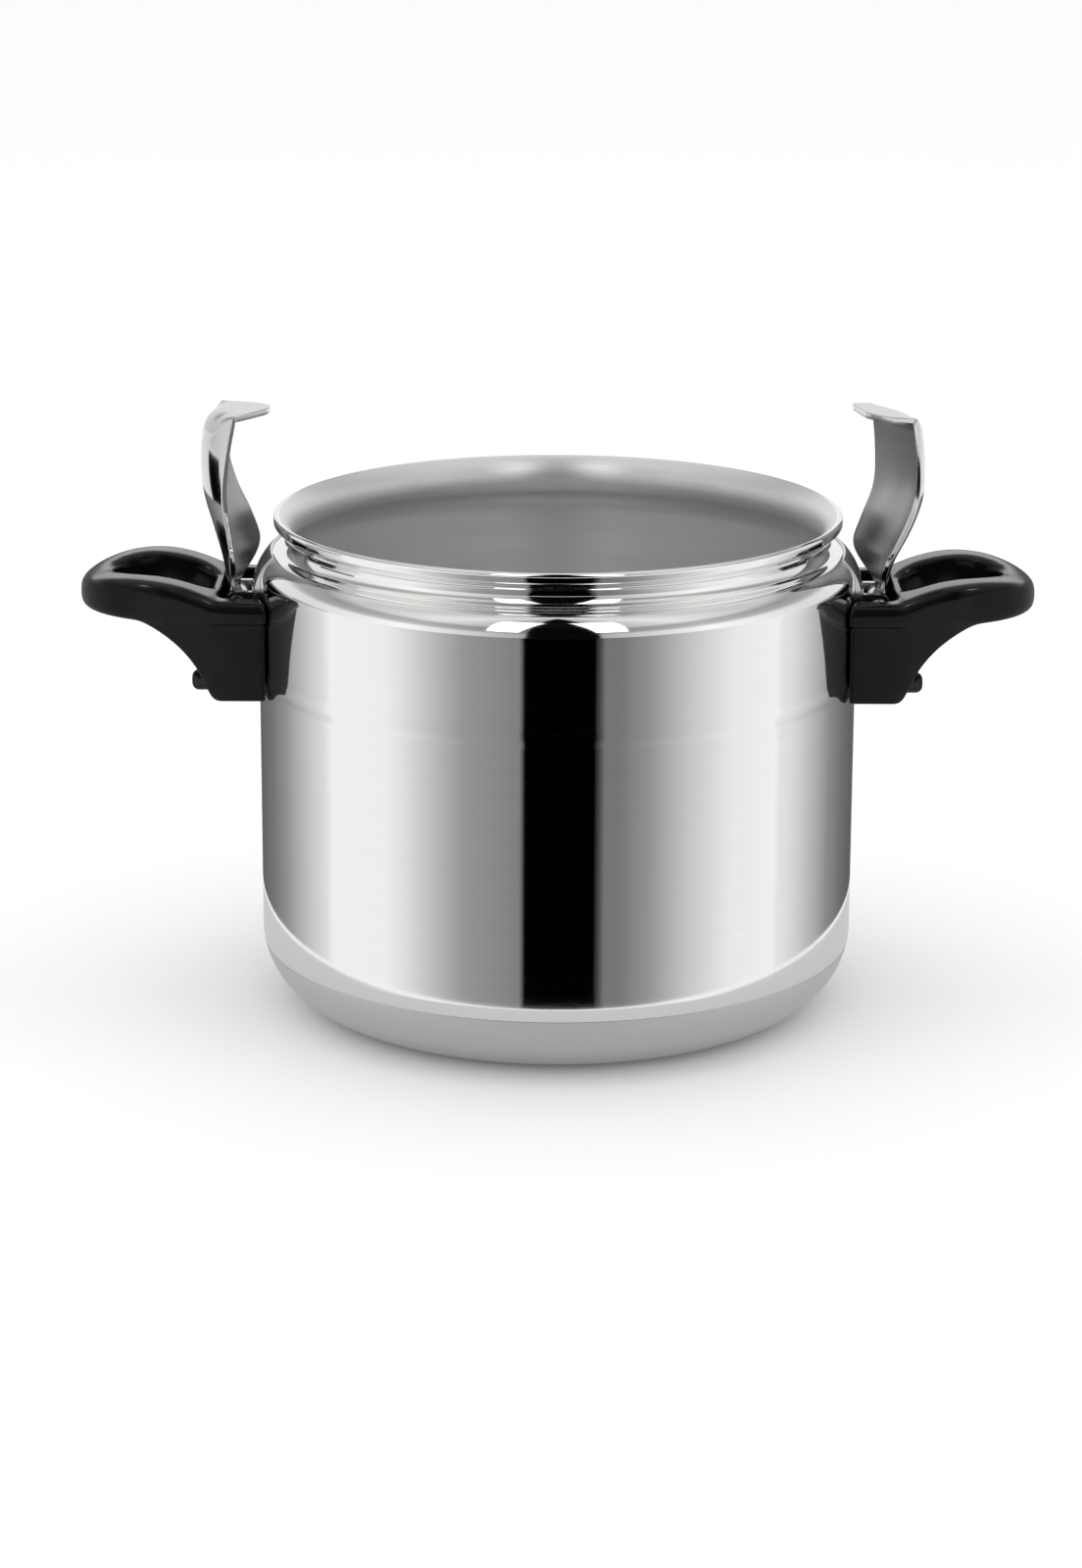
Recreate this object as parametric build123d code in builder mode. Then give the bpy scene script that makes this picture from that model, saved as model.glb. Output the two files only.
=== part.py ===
"""Body of a stainless-steel pressure canner: pot, loop handles and hinged hook arms.

The pot stands on z = 0 with its axis on Z, and its handles point along +X and -X.
Everything beside the pot is modelled on the +X side and turned half round for the
-X side, apart from the hook arm, which is bent differently there. Millimetres.
"""

from build123d import *
from math import atan2, cos, degrees, radians, sin, sqrt
import os

# ---- pot ----
pot_radius = 110.0  # outside of the wall
rim_height = 184.6  # top of the rolled rim
wall = 1.3
shoulder_radius = 10.0  # rounding between wall and neck
groove_radius = 4.7  # rounding of the neck groove, outside
neck_depth = 11.4  # how far the neck lies inside the wall
groove_below_rim = 8.8  # from the rim's top down to the narrowest point
groove_end_angle = 112.0  # where the groove runs out under the rim, degrees
lip_reach = 5.6  # rim's outer face, outward from the neck
lip_round = 1.4
band_height = 127.0  # middle of the raised forming band
band_width = 8.0
band_rise = 0.3

# ---- encapsulated base ----
corner_radius = 29.0  # outside of the base corner
cap_height = 24.0  # upper edge of the base cap
cap_thickness = 0.8  # under the disc
cap_lap = 0.6  # how far the wall steps in behind the cap
disc_radius = 84.0
disc_thickness = 5.0
inner_corner_radius = 22.0

# ---- saddle bracket, welded over the shoulder ----
weld_gap = 0.05  # filled by the weld
bracket_thickness = 2.5
bracket_half_width = 20.0
bracket_bottom = 143.5
bracket_edge = 1.0  # thickness where it runs out on the shoulder
bracket_drop = 6.5  # its straight part ends this far below the wall's top
bracket_end_angle = 60.0  # degrees up the shoulder

# ---- hinge of the hook arm ----
pin_height = 151.0
pin_offset = 7.6  # hinge axis, outward from the wall
pin_radius = 2.0
running_clearance = 0.05
knuckle_radius = 4.6
knuckle_half = 7.6
spacer_thickness = 0.8
spacer_radius = 4.0
side_play = 0.1
ear_thickness = 2.5
ear_radius = 4.9
pin_head_radius = 3.2
pin_head_thickness = 1.4
ring_radius = 3.4
ring_thickness = 0.8
pin_tail = 1.0  # of the pin beyond the ring

# ---- hook arms ----
arm_thickness = 2.2
tab_corner = 2.4
# Cross-sections going up: height above the hinge axis, chord centre outward from the
# wall, half chord, bulge of the arc, skew of the chord in degrees.
right_arm_sections = [
    (0.0, 9.4, 7.3, 0.5, 0),
    (8.0, 6.9, 8.6, 1.8, 6),
    (17.0, 4.2, 13.8, 6.0, 18),
    (28.0, 8.4, 16.2, 7.0, 23),
    (40.0, 12.6, 16.2, 7.0, 23),
    (56.0, 13.0, 16.2, 7.0, 23),
    (71.0, 11.4, 15.5, 6.5, 24),
]
left_arm_sections = [
    (0.0, 9.4, 7.3, 0.5, 0),
    (8.0, 6.9, 8.6, 1.8, 6),
    (17.0, 3.8, 13.8, 6.6, 14),
    (28.0, 5.9, 16.2, 7.8, 10),
    (40.0, 9.4, 16.2, 8.0, 3),
    (56.0, 10.7, 16.2, 7.8, -6),
    (71.0, 9.4, 15.5, 6.5, -12),
]
# Free edge of the tab from the arm's back to its front: outward from the wall, y.
right_tab_edge = [(-2.5, 16.5), (2.2, -4.0), (9.0, -11.5)]
left_tab_edge = [(0.5, 12.0), (-4.8, 7.0), (-4.2, 0.0), (2.9, -11.0)]

# ---- loop handle ----
handle_gap = 0.35  # to the crest of the forming band
handle_reach = 65.5  # nose of the loop, outward from the wall
handle_half_width = 34.5
handle_bottom = 119.6
handle_seat_top = 156.4  # top of the handle at the wall
loop_top = 164.2
band_underside = 148.3  # lower edge of the rounded upper part
body_inset = 2.4  # how far the body's sides lie inside the upper part's
bar_inner = 13.6  # pot side of the crossbar, outward from the wall
hole_start = 17.4
hole_end = 53.0
hole_half_width = 17.0
hole_corner = 8.0
hole_round = 2.5
pocket_half_width = 25.0
pocket_bottom = 142.0
pocket_corner = 5.0
upper_round = 4.6
under_round = 2.8
body_round = 1.6
foot_round = 4.0

# ---- stud, washer and cap nut ----
stud_height = 124.4
stud_spacing = 34.0
stud_radius = 2.5
stud_hole_clearance = 0.25
stud_foot_radius = 3.3
stud_foot_thickness = 1.2
washer_radius = 4.1
washer_thickness = 1.0
washer_bore_clearance = 0.1
nut_radius = 3.8
nut_length = 7.4
nut_round = 2.6
nut_seat = 15.4  # spot face under the washer, outward from the wall
thread_depth = 4.4

# ---- worked out from the sizes above ----
neck_radius = pot_radius - neck_depth
groove_height = rim_height - groove_below_rim
groove_centre = (neck_radius + groove_radius, groove_height)
bend_reach = shoulder_radius + groove_radius
bend_shift = groove_centre[0] - (pot_radius - shoulder_radius)
bend_rise = sqrt(bend_reach**2 - bend_shift**2)
shoulder_centre = (pot_radius - shoulder_radius, groove_height - bend_rise)
bend_angle = degrees(atan2(bend_rise, bend_shift))
wall_top = shoulder_centre[1]
lip_radius = neck_radius + lip_reach
inner_radius = pot_radius - wall
covered_wall = wall - cap_lap
floor_height = cap_thickness + disc_thickness + covered_wall
inner_corner = (inner_radius - inner_corner_radius, floor_height + inner_corner_radius)
outer_corner = (pot_radius - corner_radius, corner_radius)
covered_radius = inner_corner_radius + covered_wall
covered_floor = inner_corner[1] - covered_radius
hinge_x = pot_radius + pin_offset
ear_inner = knuckle_half + spacer_thickness + 2 * side_play
ear_outer = ear_inner + ear_thickness
saddle_radius = pot_radius + band_rise + handle_gap
nose_x = pot_radius + handle_reach
pin_bore = pin_radius + running_clearance
nut_base = pot_radius + nut_seat + washer_thickness
stud_places = [(-stud_spacing / 2, stud_height), (stud_spacing / 2, stud_height)]


def on_circle(centre, radius, angle):
    """Point of a circle, with its angle in degrees from the first axis."""
    x = centre[0] + radius * cos(radians(angle))
    return (x, centre[1] + radius * sin(radians(angle)))


def at_height(centre, radius, height):
    """Point on a circle's outer side at a given height."""
    return (centre[0] + sqrt(radius**2 - (height - centre[1]) ** 2), height)


def arc_angle(centre, point):
    return degrees(atan2(point[1] - centre[1], point[0] - centre[0]))


def finish(piece, name):
    """Labels a piece and writes it."""
    piece.label = name
    export_step(piece, f"parts/{name}.step")


os.makedirs("parts", exist_ok=True)
half_turn = Rot(0, 0, 180)

# ---- pot shell: a drawn cup with a stepped corner for the base cap ----
cap_edge_outside = at_height(outer_corner, corner_radius, cap_height)
cap_edge_inside = at_height(inner_corner, covered_radius, cap_height)
cap_edge_angle = arc_angle(outer_corner, cap_edge_outside)
covered_angle = arc_angle(inner_corner, cap_edge_inside)
covered_middle = on_circle(inner_corner, covered_radius, (covered_angle - 90) / 2)
covered_low = (inner_corner[0], covered_floor)
shoulder_top = on_circle(shoulder_centre, shoulder_radius, bend_angle)
shoulder_inside = on_circle(shoulder_centre, shoulder_radius - wall, bend_angle)
groove_end = on_circle(groove_centre, groove_radius, groove_end_angle)
lip_low = (lip_radius, groove_end[1] + lip_round)
lip_high = (lip_radius, rim_height - lip_round)
rim_top = (lip_radius - lip_round, rim_height)
neck_inside = (neck_radius - wall, groove_height)
band_low = (pot_radius, band_height - band_width / 2)
band_high = (pot_radius, band_height + band_width / 2)

with BuildPart() as pot_shell:
    with BuildSketch(Plane.XZ):
        with BuildLine():
            Line((0, covered_floor), covered_low)
            ThreePointArc(covered_low, covered_middle, cap_edge_inside)
            Line(cap_edge_inside, cap_edge_outside)
            ThreePointArc(
                cap_edge_outside,
                on_circle(outer_corner, corner_radius, cap_edge_angle / 2),
                (pot_radius, corner_radius),
            )
            Line((pot_radius, corner_radius), band_low)
            ThreePointArc(band_low, (pot_radius + band_rise, band_height), band_high)
            Line(band_high, (pot_radius, wall_top))
            ThreePointArc(
                (pot_radius, wall_top),
                on_circle(shoulder_centre, shoulder_radius, bend_angle / 2),
                shoulder_top,
            )
            ThreePointArc(shoulder_top, (neck_radius, groove_height), groove_end)
            ThreePointArc(
                groove_end,
                (lip_radius - lip_round * 0.3, groove_end[1] + lip_round * 0.3),
                lip_low,
            )
            Line(lip_low, lip_high)
            ThreePointArc(
                lip_high, on_circle((rim_top[0], lip_high[1]), lip_round, 45), rim_top
            )
            TangentArc(neck_inside, rim_top, tangent=(0, 1))
            ThreePointArc(
                neck_inside,
                on_circle(groove_centre, groove_radius + wall, 180 + bend_angle / 2),
                shoulder_inside,
            )
            ThreePointArc(
                shoulder_inside,
                on_circle(shoulder_centre, shoulder_radius - wall, bend_angle / 2),
                (inner_radius, wall_top),
            )
            Line((inner_radius, wall_top), (inner_radius, inner_corner[1]))
            ThreePointArc(
                (inner_radius, inner_corner[1]),
                on_circle(inner_corner, inner_corner_radius, -45),
                (inner_corner[0], floor_height),
            )
            Line((inner_corner[0], floor_height), (0, floor_height))
            Line((0, floor_height), (0, covered_floor))
        make_face()
    revolve(axis=Axis.Z)
finish(pot_shell.part, "pot_shell")

# ---- aluminium disc and the steel cap that closes the base ----
with BuildPart() as base_disc:
    with BuildSketch(Plane.XY.offset(cap_thickness)):
        Circle(disc_radius)
    extrude(amount=disc_thickness)
finish(base_disc.part, "base_disc")

with BuildPart() as base_cap:
    with BuildSketch(Plane.XZ):
        with BuildLine():
            Line((0, 0), (outer_corner[0], 0))
            ThreePointArc(
                (outer_corner[0], 0),
                on_circle(outer_corner, corner_radius, (cap_edge_angle - 90) / 2),
                cap_edge_outside,
            )
            Line(cap_edge_outside, cap_edge_inside)
            ThreePointArc(cap_edge_inside, covered_middle, covered_low)
            Polyline(
                covered_low,
                (disc_radius, covered_floor),
                (disc_radius, cap_thickness),
                (0, cap_thickness),
                (0, 0),
            )
        make_face()
    revolve(axis=Axis.Z)
finish(base_cap.part, "base_cap")

# ---- saddle bracket with the two ears of the hinge ----
plate_outside = pot_radius + bracket_thickness
plate_top = (plate_outside, wall_top - bracket_drop)
bracket_end = on_circle(shoulder_centre, shoulder_radius + bracket_edge, bracket_end_angle)
hinge_point = (hinge_x, pin_height)

with BuildPart() as bracket:
    with BuildSketch(Plane.XZ):
        with BuildLine():
            Line((pot_radius + weld_gap, bracket_bottom), (pot_radius + weld_gap, wall_top))
            ThreePointArc(
                (pot_radius + weld_gap, wall_top),
                on_circle(shoulder_centre, shoulder_radius + weld_gap, bracket_end_angle / 2),
                on_circle(shoulder_centre, shoulder_radius + weld_gap, bracket_end_angle),
            )
            Line(
                on_circle(shoulder_centre, shoulder_radius + weld_gap, bracket_end_angle),
                bracket_end,
            )
            TangentArc(plate_top, bracket_end, tangent=(0, 1))
            Line(plate_top, (plate_outside, bracket_bottom))
            Line((plate_outside, bracket_bottom), (pot_radius + weld_gap, bracket_bottom))
        make_face()
    revolve(axis=Axis.Z)
    with BuildSketch(Plane.XY):
        with Locations((pot_radius, 0)):
            Rectangle(2 * pin_offset + 2 * ear_radius, 2 * bracket_half_width)
    extrude(amount=rim_height, mode=Mode.INTERSECT)
    with BuildSketch(Plane.XZ.offset(ear_inner)):
        with Locations(hinge_point):
            Circle(ear_radius)
        with Locations((plate_outside + (pin_offset - bracket_thickness) / 2 - 0.5, pin_height)):
            Rectangle(pin_offset - bracket_thickness + 1, 2 * ear_radius)
    extrude(amount=ear_thickness)
    mirror(about=Plane.XZ)
    with BuildSketch(Plane.XZ):
        with Locations(hinge_point):
            Circle(pin_bore)
    extrude(amount=ear_outer, both=True, mode=Mode.SUBTRACT)

# ---- hinge pin, its retaining ring and the spacer washers ----
pin_front = -ear_outer - side_play
ring_front = ear_outer + side_play

with BuildPart() as hinge_pin:
    with BuildSketch(Plane.XZ.offset(-pin_front)):
        with Locations(hinge_point):
            Circle(pin_radius)
    extrude(amount=pin_front - ring_front - ring_thickness - pin_tail)
    with BuildSketch(Plane.XZ.offset(-pin_front)):
        with Locations(hinge_point):
            Circle(pin_head_radius)
    extrude(amount=pin_head_thickness)
    fillet(hinge_pin.edges().group_by(Axis.Y)[0], radius=pin_head_thickness / 2)

with BuildPart() as retaining_ring:
    with BuildSketch(Plane.XZ.offset(-ring_front)):
        with Locations(hinge_point):
            Circle(ring_radius)
            Circle(pin_bore, mode=Mode.SUBTRACT)
    extrude(amount=-ring_thickness)

with BuildPart() as spacer_washers:
    with BuildSketch(Plane.XZ.offset(knuckle_half + side_play)):
        with Locations(hinge_point):
            Circle(spacer_radius)
            Circle(pin_bore, mode=Mode.SUBTRACT)
    extrude(amount=spacer_thickness)
    mirror(about=Plane.XZ)


# ---- hook arms: a gutter-shaped strip on a rolled knuckle, with a tab on top ----
def chord_ends(section, outward=0.0):
    """Front and back end of a section's chord, and its crest, moved outward by a wall."""
    height, centre, half, bulge, skew = section
    along = (sin(radians(skew)), -cos(radians(skew)))
    normal = (cos(radians(skew)), sin(radians(skew)))
    radius = (half**2 + bulge**2) / (2 * bulge)
    reach = radius + outward
    hub = (
        pot_radius + centre + normal[0] * (bulge - radius),
        normal[1] * (bulge - radius),
    )
    spread = degrees(atan2(half, radius - bulge))
    front, crest, back = (on_circle(hub, reach, skew + turn) for turn in (-spread, 0, spread))
    return front, crest, back


def hook_arm(sections, tab_edge, side=1):
    """Arm on the +X side; with side -1 it is the one that a half turn puts on the left."""
    sections = [(*section[:4], side * section[4]) for section in sections]
    top_height = sections[-1][0]
    with BuildPart() as arm:
        for section in sections:
            front, crest, back = chord_ends(section)
            outer_front, outer_crest, outer_back = chord_ends(section, arm_thickness)
            with BuildSketch(Plane.XY.offset(pin_height + section[0])):
                with BuildLine():
                    ThreePointArc(front, crest, back)
                    Line(back, outer_back)
                    ThreePointArc(outer_back, outer_crest, outer_front)
                    Line(outer_front, front)
                make_face()
        loft()
        with BuildSketch(Plane.XY.offset(pin_height + top_height)):
            front, crest, back = chord_ends(sections[-1], arm_thickness / 2)
            edge = [(pot_radius + out, side * y) for out, y in tab_edge][::side]
            with BuildLine():
                ThreePointArc(front, crest, back)
                Polyline(back, *edge, front)
            tab = make_face()
            fillet(tab.vertices().sort_by(Axis.X)[: len(edge)], radius=tab_corner)
        extrude(amount=-arm_thickness)
        with BuildSketch(Plane.XZ.offset(-knuckle_half)):
            with Locations(hinge_point):
                Circle(knuckle_radius)
        extrude(amount=2 * knuckle_half)
        with BuildSketch(Plane.XZ):
            with Locations(hinge_point):
                Circle(pin_bore)
        extrude(amount=2 * knuckle_half, both=True, mode=Mode.SUBTRACT)
    return arm.part


right_hook_arm = hook_arm(right_arm_sections, right_tab_edge)
left_hook_arm = half_turn * hook_arm(left_arm_sections, left_tab_edge, side=-1)
finish(right_hook_arm, "right_hook_arm")
finish(left_hook_arm, "left_hook_arm")


# ---- loop handle: a rounded upper part on a narrower body ----
seat_x = pot_radius - handle_half_width / 4  # within the pot, cut away by the saddle
bar_top = (pot_radius + bar_inner, handle_seat_top + 0.6)
past_nose = nose_x + 2.0  # the outline in plan trims it back to the nose
nose_high = (past_nose, loop_top - 5.4)
nose_low = (past_nose, loop_top - 14.8)
body_tip = (nose_x - 13.0, loop_top - 12.0)  # within the upper part
hollow_middle = (nose_x - 33.6, loop_top - 20.8)
hollow_start = (nose_x - 44.4, loop_top - 32.7)
foot_corner = (nose_x - 50.3, handle_bottom)
loop_middle = (nose_x - 27.5, loop_top)
underside_middle = (nose_x - 32.0, band_underside + 0.9)
underside_start = (nose_x - 51.5, band_underside)
plan_centre_x = nose_x - handle_half_width
bar_outer_x = pot_radius + hole_start
body_half = handle_half_width - body_inset
body_top = band_underside + 5.2  # within the upper part
hole_x = pot_radius + hole_end - hole_half_width

with BuildSketch(Plane.XY) as finger_hole:
    with BuildLine():
        Line((bar_outer_x, -hole_half_width), (hole_x, -hole_half_width))
        RadiusArc((hole_x, -hole_half_width), (hole_x, hole_half_width), -hole_half_width)
        Line((hole_x, hole_half_width), (bar_outer_x, hole_half_width))
        Line((bar_outer_x, hole_half_width), (bar_outer_x, -hole_half_width))
    make_face()
    fillet(finger_hole.vertices().group_by(Axis.X)[0], radius=hole_corner)

with BuildPart() as handle_upper:
    with BuildSketch(Plane.XZ):
        with BuildLine():
            Polyline(underside_start, (seat_x, band_underside), (seat_x, handle_seat_top), bar_top)
            ThreePointArc(bar_top, loop_middle, nose_high)
            Line(nose_high, nose_low)
            ThreePointArc(nose_low, underside_middle, underside_start)
        make_face()
    extrude(amount=handle_half_width, both=True)
    with BuildSketch(Plane.XY):
        with BuildLine():
            Line((seat_x, -handle_half_width), (plan_centre_x, -handle_half_width))
            RadiusArc(
                (plan_centre_x, -handle_half_width),
                (plan_centre_x, handle_half_width),
                -handle_half_width,
            )
            Line((plan_centre_x, handle_half_width), (seat_x, handle_half_width))
            Line((seat_x, handle_half_width), (seat_x, -handle_half_width))
        make_face()
    extrude(amount=rim_height, mode=Mode.INTERSECT)
    rim_edges = handle_upper.edges().filter_by_position(Axis.X, seat_x + 1, nose_x + 1)
    fillet(rim_edges.filter_by_position(Axis.Z, nose_low[1] + 2, rim_height), radius=upper_round)
    low_rim = handle_upper.edges().filter_by_position(Axis.X, seat_x + 1, nose_x + 1)
    fillet(low_rim.filter_by_position(Axis.Z, 0, nose_low[1] + 1), radius=under_round)
    extrude(finger_hole.sketch, amount=rim_height, mode=Mode.SUBTRACT)
    inside = (-hole_half_width - 0.01, hole_half_width + 0.01)
    hole_edges = handle_upper.edges().filter_by_position(Axis.Y, *inside)
    hole_edges = hole_edges.filter_by_position(Axis.X, bar_outer_x - 0.01, hole_x + hole_half_width)
    hole_edges = hole_edges.filter_by_position(Axis.Z, handle_seat_top, loop_top)
    fillet(hole_edges, radius=hole_round)

with BuildPart() as handle:
    with BuildSketch(Plane.XZ):
        with BuildLine():
            Polyline(hollow_start, foot_corner, (seat_x, handle_bottom), (seat_x, body_top))
            Polyline((seat_x, body_top), (body_tip[0], body_top), body_tip)
            ThreePointArc(body_tip, hollow_middle, hollow_start)
        make_face()
    extrude(amount=handle_half_width - body_inset, both=True)
    with BuildSketch(Plane.XY):
        with BuildLine():
            Line((seat_x, -body_half), (plan_centre_x, -body_half))
            RadiusArc((plan_centre_x, -body_half), (plan_centre_x, body_half), -body_half)
            Line((plan_centre_x, body_half), (seat_x, body_half))
            Line((seat_x, body_half), (seat_x, -body_half))
        make_face()
    extrude(amount=rim_height, mode=Mode.INTERSECT)
    foot_edges = handle.edges().filter_by(Axis.Y).group_by(Axis.Z)[0]
    fillet(foot_edges.sort_by(Axis.X)[-1], radius=foot_round)
    low_edges = handle.edges().filter_by_position(Axis.Z, 0, nose_low[1])
    fillet(low_edges.filter_by_position(Axis.X, seat_x + 1, nose_x), radius=body_round)
    extrude(finger_hole.sketch, amount=rim_height, mode=Mode.SUBTRACT)
    add(handle_upper.part)
    # Seat on the pot's wall.
    with BuildSketch(Plane.XY):
        Circle(saddle_radius)
    extrude(amount=rim_height, mode=Mode.SUBTRACT)
    # Pocket for the bracket and the arm's knuckle.
    with BuildSketch(Plane.XY.offset(pocket_bottom)):
        with Locations((bar_top[0] / 2, 0)):
            pocket = Rectangle(bar_top[0], 2 * pocket_half_width)
        fillet(pocket.vertices().group_by(Axis.X)[-1], radius=pocket_corner)
    extrude(amount=rim_height, mode=Mode.SUBTRACT)
    # Stud holes, room for the studs' feet, and the spot faces under the washers.
    with BuildSketch(Plane.YZ):
        with Locations(*stud_places):
            Circle(stud_radius + stud_hole_clearance)
    extrude(amount=nose_x, mode=Mode.SUBTRACT)
    with BuildSketch(Plane.YZ):
        with Locations(*stud_places):
            Circle(stud_foot_radius + stud_hole_clearance)
    foot_room = pot_radius + band_rise + stud_foot_thickness + 2 * stud_hole_clearance
    extrude(amount=foot_room, mode=Mode.SUBTRACT)
    with BuildSketch(Plane.YZ.offset(pot_radius + nut_seat)):
        with Locations(*stud_places):
            Circle(washer_radius + stud_hole_clearance)
    extrude(amount=nose_x, mode=Mode.SUBTRACT)

# ---- weld studs, washers and cap nuts that hold the handle ----
with BuildPart() as weld_studs:
    with BuildSketch(Plane.YZ.offset(inner_radius)):
        with Locations(*stud_places):
            Circle(stud_foot_radius)
    extrude(amount=foot_room - stud_hole_clearance - inner_radius)
    with BuildSketch(Plane.YZ.offset(inner_radius)):
        with Locations(*stud_places):
            Circle(stud_radius)
    extrude(amount=nut_base + thread_depth - inner_radius)
    with BuildSketch(Plane.XY):
        Circle(pot_radius + band_rise + weld_gap)
    extrude(amount=rim_height, mode=Mode.SUBTRACT)

with BuildPart() as handle_washers:
    with BuildSketch(Plane.YZ.offset(pot_radius + nut_seat)):
        with Locations(*stud_places):
            Circle(washer_radius)
            Circle(stud_radius + washer_bore_clearance, mode=Mode.SUBTRACT)
    extrude(amount=washer_thickness)

with BuildPart() as cap_nuts:
    with BuildSketch(Plane.YZ.offset(nut_base)):
        with Locations(*stud_places):
            Circle(nut_radius)
    extrude(amount=nut_length)
    fillet(cap_nuts.edges().group_by(Axis.X)[-1], radius=nut_round)
    with BuildSketch(Plane.YZ.offset(nut_base)):
        with Locations(*stud_places):
            Circle(stud_radius + running_clearance)
    extrude(amount=thread_depth + side_play, mode=Mode.SUBTRACT)

# ---- everything beside the pot, on the right and turned half round to the left ----
side_pieces = {
    "handle": handle,
    "bracket": bracket,
    "hinge_pin": hinge_pin,
    "retaining_ring": retaining_ring,
    "spacer_washers": spacer_washers,
    "weld_studs": weld_studs,
    "handle_washers": handle_washers,
    "cap_nuts": cap_nuts,
}
for name, piece in side_pieces.items():
    finish(piece.part, f"right_{name}")
    finish(half_turn * piece.part, f"left_{name}")
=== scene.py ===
"""Looks of the open pressure canner body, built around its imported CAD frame. Metres."""

import math

import bmesh
import bpy
import numpy as np
from mathutils import Matrix, Vector


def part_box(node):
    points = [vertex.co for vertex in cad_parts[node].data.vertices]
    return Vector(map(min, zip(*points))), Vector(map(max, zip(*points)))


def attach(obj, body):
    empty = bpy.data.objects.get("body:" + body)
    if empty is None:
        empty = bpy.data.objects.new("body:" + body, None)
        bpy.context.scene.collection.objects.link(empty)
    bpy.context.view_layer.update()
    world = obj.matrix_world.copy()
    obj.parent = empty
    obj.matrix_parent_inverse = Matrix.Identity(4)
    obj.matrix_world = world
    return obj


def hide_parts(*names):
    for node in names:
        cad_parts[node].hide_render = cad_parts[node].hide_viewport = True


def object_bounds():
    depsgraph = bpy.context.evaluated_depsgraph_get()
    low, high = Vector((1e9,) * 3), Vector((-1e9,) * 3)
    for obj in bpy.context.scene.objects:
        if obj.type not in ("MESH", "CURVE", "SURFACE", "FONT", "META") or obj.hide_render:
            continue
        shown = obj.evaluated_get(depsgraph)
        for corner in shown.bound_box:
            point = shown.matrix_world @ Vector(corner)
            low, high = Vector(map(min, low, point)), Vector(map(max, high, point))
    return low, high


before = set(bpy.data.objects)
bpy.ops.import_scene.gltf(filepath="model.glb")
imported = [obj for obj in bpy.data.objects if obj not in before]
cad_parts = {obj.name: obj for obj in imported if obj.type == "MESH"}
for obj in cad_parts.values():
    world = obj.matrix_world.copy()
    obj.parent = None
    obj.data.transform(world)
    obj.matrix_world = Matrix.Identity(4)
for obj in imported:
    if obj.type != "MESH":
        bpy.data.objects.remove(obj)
cad_low, cad_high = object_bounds()

MM = 0.001
BAND_RISE = 0.3 * MM
shell_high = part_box("pot_shell")[1]
RIM = shell_high[2]
POT_R = shell_high[0] - BAND_RISE
CAP_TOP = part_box("base_cap")[1][2]
PIN_X = (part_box("right_hinge_pin")[0][0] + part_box("right_hinge_pin")[1][0]) / 2
PIN_Z = (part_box("right_hinge_pin")[0][2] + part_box("right_hinge_pin")[1][2]) / 2

# ---------------------------------------------------------------- camera
PITCH, YAW, ROLL = 0.2763, -0.0039, 0.0035
CAMERA_PLACE = (0.0, -1.51278, 0.50921)
CAMERA_LENS = 96.687
SENSOR = 36.0
forward = Vector((math.sin(YAW) * math.cos(PITCH), math.cos(YAW) * math.cos(PITCH), -math.sin(PITCH)))
flat_right = Vector((math.cos(YAW), -math.sin(YAW), 0.0))
flat_up = flat_right.cross(forward)
cam_right = flat_right * math.cos(ROLL) + flat_up * math.sin(ROLL)
cam_up = flat_up * math.cos(ROLL) - flat_right * math.sin(ROLL)
camera_data = bpy.data.cameras.new("camera")
camera_data.sensor_width = SENSOR
camera_data.lens = CAMERA_LENS
camera_data.clip_start = 0.05
camera_data.clip_end = 30.0
camera = bpy.data.objects.new("camera", camera_data)
bpy.context.scene.collection.objects.link(camera)
turn = Matrix((cam_right, cam_up, -forward)).transposed().to_4x4()
camera.matrix_world = Matrix.Translation(CAMERA_PLACE) @ turn
bpy.context.scene.camera = camera


# ---------------------------------------------------------------- materials
def new_material(name):
    """An empty node material and its principled shader."""
    made = bpy.data.materials.new(name)
    made.use_nodes = True
    nodes = made.node_tree.nodes
    links = made.node_tree.links
    return made, nodes, links, nodes["Principled BSDF"]


def add_node(nodes, kind, **inputs):
    made = nodes.new(kind)
    for key, value in inputs.items():
        made.inputs[key].default_value = value
    return made


def ramp(nodes, *stops):
    """A colour ramp with grey stops given as (position, grey)."""
    made = nodes.new("ShaderNodeValToRGB")
    while len(made.color_ramp.elements) < len(stops):
        made.color_ramp.elements.new(0.5)
    for element, (place, grey) in zip(made.color_ramp.elements, stops):
        element.position = place
        element.color = (grey, grey, grey, 1.0)
    return made


def mapped(nodes, links, scale):
    """Object coordinates scaled along each axis."""
    coords = nodes.new("ShaderNodeTexCoord")
    mapping = nodes.new("ShaderNodeMapping")
    mapping.inputs["Scale"].default_value = scale
    links.new(coords.outputs["Object"], mapping.inputs["Vector"])
    return mapping.outputs["Vector"]


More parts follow.
